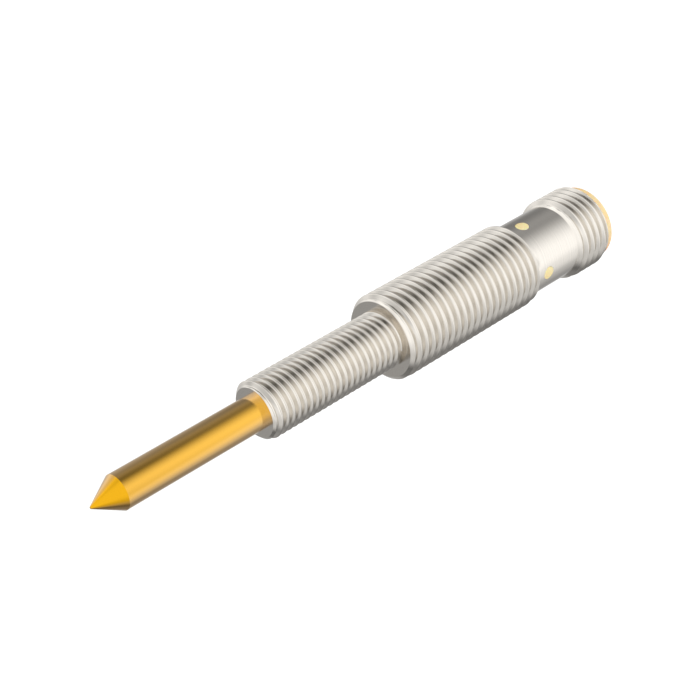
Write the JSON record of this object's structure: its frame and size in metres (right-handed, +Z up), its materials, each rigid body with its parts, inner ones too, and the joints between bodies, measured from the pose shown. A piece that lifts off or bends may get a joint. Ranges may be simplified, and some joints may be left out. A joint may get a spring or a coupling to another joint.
{
  "type": "magnetic field sensor",
  "caption": "Cylindrical magnetic field sensor with a gold-coated probe pin and cone tip, stepped threaded steel housing, status windows and a round male connector.",
  "frame": {"origin": "middle of the mounting thread, on the sensor's axis", "axes": "X along the sensor's axis with -X towards the probe's tip and +X towards the connector, +Z up through one status window, +Y square to both"},
  "size_m": [0.0885, 0.012, 0.012],
  "materials": {
    "stainless": "fine turned, semi-polished stainless steel",
    "gold_coated_steel": "polished steel with a gold-coloured titanium nitride coating",
    "yellow_plastic": "translucent yellow moulded plastic",
    "gold_plated_brass": "gold-plated, turned",
    "seal_rubber": "black rubber",
    "circuit_board": "green solder mask on glass-fibre board",
    "led_body": "white moulded package with a clear lens",
    "chip_moulding": "black moulded package",
    "capacitor_moulding": "ochre moulded package",
    "capacitor_ceramic": "tan ceramic with tinned ends",
    "resistor_ceramic": "black glazed ceramic with tinned ends",
    "liner_plastic": "natural moulded plastic",
    "magnet_nickel": "nickel-plated magnet",
    "casting_resin": "black casting resin"
  },
  "bodies": {
    "root": {"housing": "stainless", "probe_pin": "gold_coated_steel", "contact_carrier": "yellow_plastic", "contact_1": "gold_plated_brass", "contact_2": "gold_plated_brass", "contact_3": "gold_plated_brass", "contact_4": "gold_plated_brass", "carrier_seal": "seal_rubber", "led_board": "circuit_board", "led_1": "led_body", "led_2": "led_body", "led_3": "led_body", "led_4": "led_body", "main_board": "circuit_board", "signal_processor": "chip_moulding", "voltage_regulator": "chip_moulding", "output_transistor": "chip_moulding", "reverse_diode": "chip_moulding", "surge_suppressor": "chip_moulding", "storage_capacitor": "capacitor_moulding", "filter_capacitors": "capacitor_ceramic", "resistors": "resistor_ceramic", "board_sleeve": "liner_plastic", "probe_board": "circuit_board", "field_sensor": "chip_moulding", "probe_capacitor": "capacitor_ceramic", "probe_magnet": "magnet_nickel", "probe_carrier": "liner_plastic", "probe_seal": "casting_resin"}
  },
  "joints": []
}
